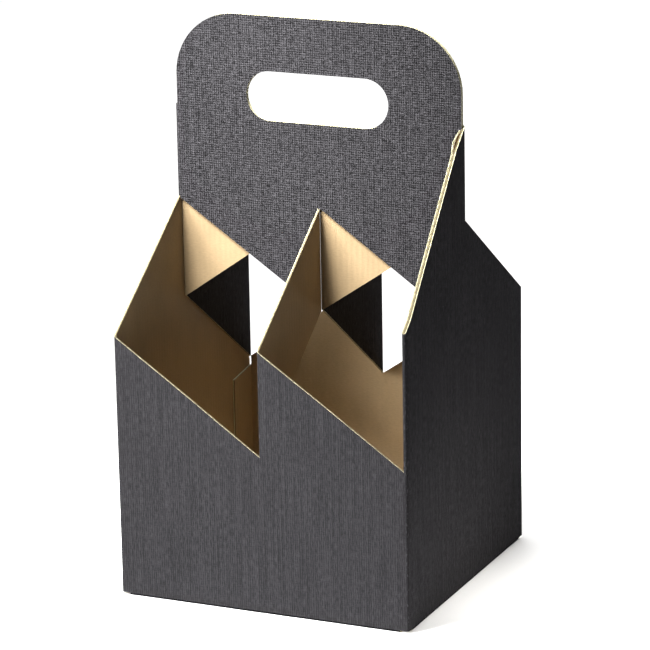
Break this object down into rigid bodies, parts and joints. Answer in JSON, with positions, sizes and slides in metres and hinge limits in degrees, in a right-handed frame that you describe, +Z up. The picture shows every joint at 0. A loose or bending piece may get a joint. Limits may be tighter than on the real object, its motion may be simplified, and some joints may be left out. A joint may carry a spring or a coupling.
{
  "type": "wine bottle carrier",
  "caption": "Folded board carrier that holds upright wine bottles in open cells either side of a tall central handle with a long hand hole.",
  "frame": {"origin": "middle of the underside, on the surface it stands on", "axes": "+Z up, +X to the right along the handle, -Y to the front"},
  "size_m": [0.172, 0.169, 0.313],
  "materials": {
    "board": "linen-embossed black outer liner, plain kraft inner liner and cut edges"
  },
  "bodies": {
    "root": {"carrier": "board"}
  },
  "joints": []
}
